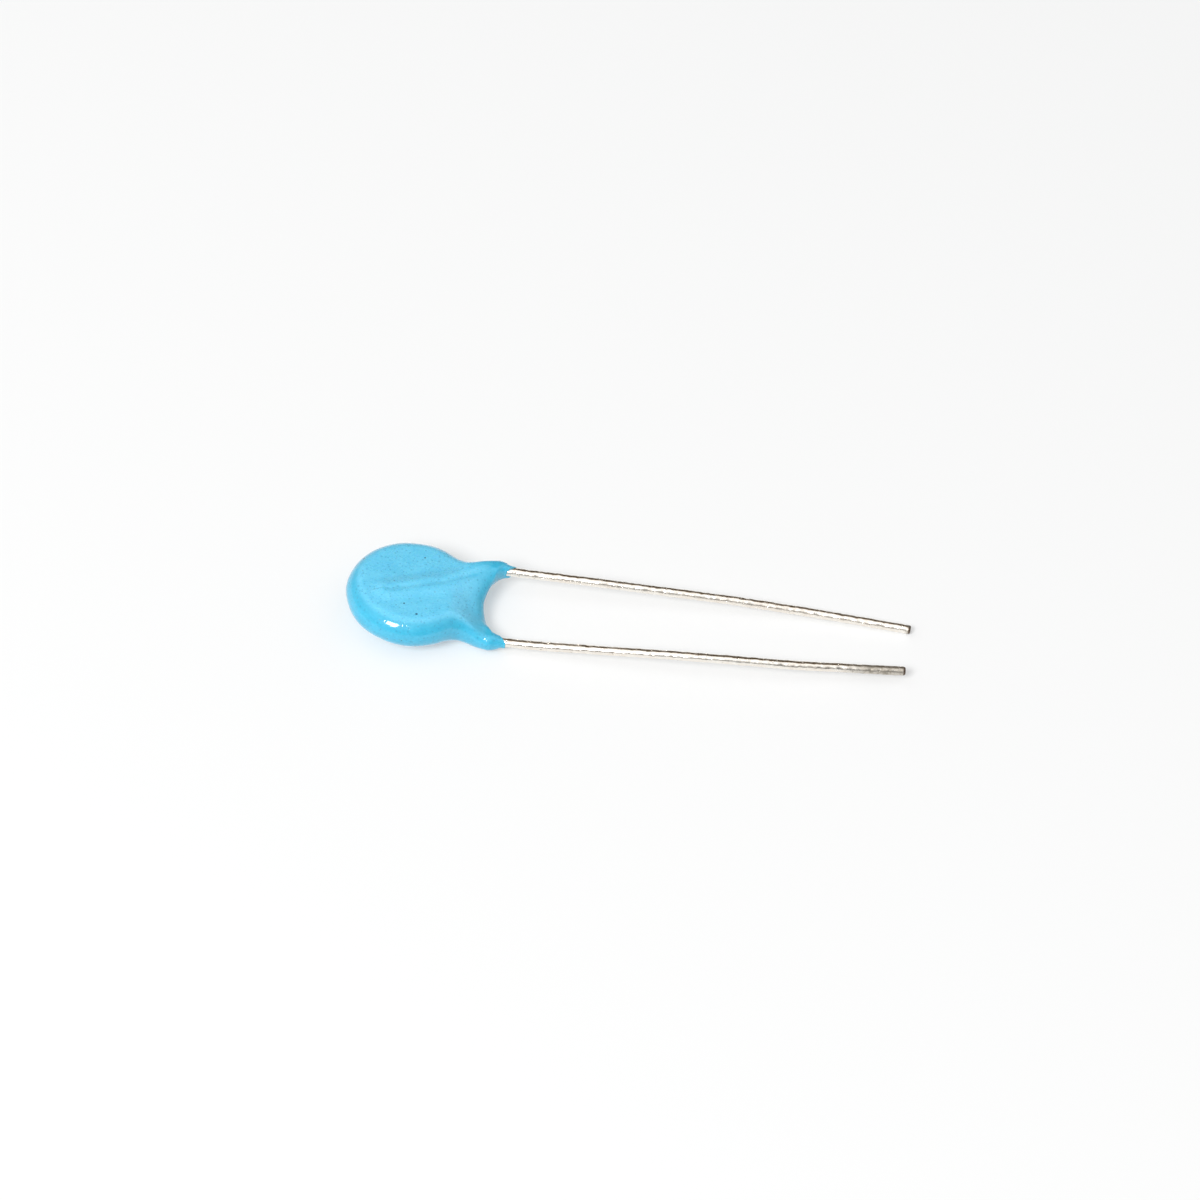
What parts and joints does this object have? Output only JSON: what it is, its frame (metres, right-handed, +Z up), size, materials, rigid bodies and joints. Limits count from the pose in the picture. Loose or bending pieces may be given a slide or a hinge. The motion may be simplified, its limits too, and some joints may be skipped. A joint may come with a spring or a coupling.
{
  "type": "varistor",
  "caption": "Radial-leaded disc varistor: a sintered disc in a thick dipped epoxy coat, with two straight-cut tinned wires leaving side by side through short coated legs.",
  "frame": {"origin": "on the surface that the part lies on, under the middle of its length and width", "axes": "+X along the part from the disc to the wires' tips, +Y to the side where the front wire leaves, +Z up, out of the front face"},
  "size_m": [0.0498, 0.0116, 0.0042],
  "materials": {
    "coating": "sky blue dipped epoxy, wavy and glossy, with small pits and specks",
    "ceramic_disc": "dark grey-green sintered zinc oxide, matt, fine grain",
    "electrode_front": "fired silver paste, satin",
    "electrode_back": "fired silver paste, satin",
    "solder_front": "tin solder, semi-bright",
    "solder_back": "tin solder, semi-bright",
    "lead_front": "hot tinned copper wire, lightly rippled, cut square",
    "lead_back": "hot tinned copper wire, lightly rippled, cut square"
  },
  "bodies": {
    "root": {"coating": "coating", "ceramic_disc": "ceramic_disc", "electrode_front": "electrode_front", "electrode_back": "electrode_back", "solder_front": "solder_front", "solder_back": "solder_back", "lead_front": "lead_front", "lead_back": "lead_back"}
  },
  "joints": []
}
